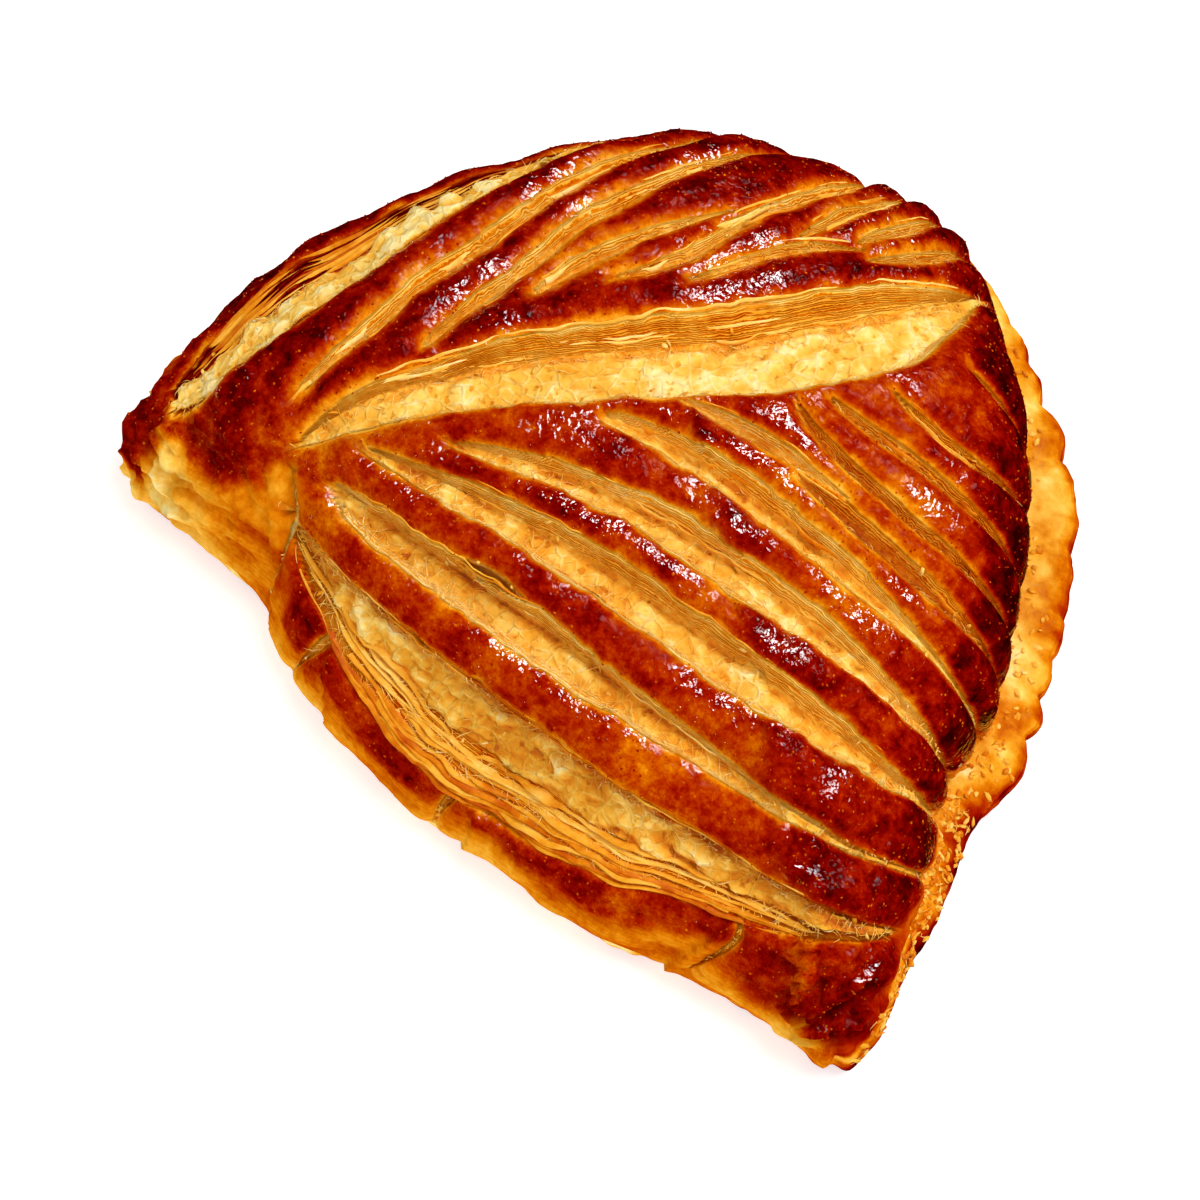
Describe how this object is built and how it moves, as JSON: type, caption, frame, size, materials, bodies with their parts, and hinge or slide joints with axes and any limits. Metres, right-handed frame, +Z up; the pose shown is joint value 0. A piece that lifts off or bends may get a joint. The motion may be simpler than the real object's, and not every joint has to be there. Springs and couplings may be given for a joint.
{
  "type": "apple turnover",
  "caption": "Baked half-moon puff pastry, folded and sealed along a scalloped rim, its domed glossy lid scored with an opened leaf pattern; rests on its flat base.",
  "frame": {"origin": "centre of the bounding box at the base plane, on the surface the pastry rests on", "axes": "+X along the fold to the right corner, +Y from the fold to the sealed rim, +Z up through the lid"},
  "size_m": [0.1452, 0.1201, 0.0399],
  "materials": {
    "crust": "egg-washed puff pastry, glossy red-brown, mottled, nearly black on the outer ridges",
    "crumb": "opened pastry in the slits and along the rim, matte pale gold to golden brown, in fine layers"
  },
  "bodies": {
    "root": {"turnover": "crust"}
  },
  "joints": []
}
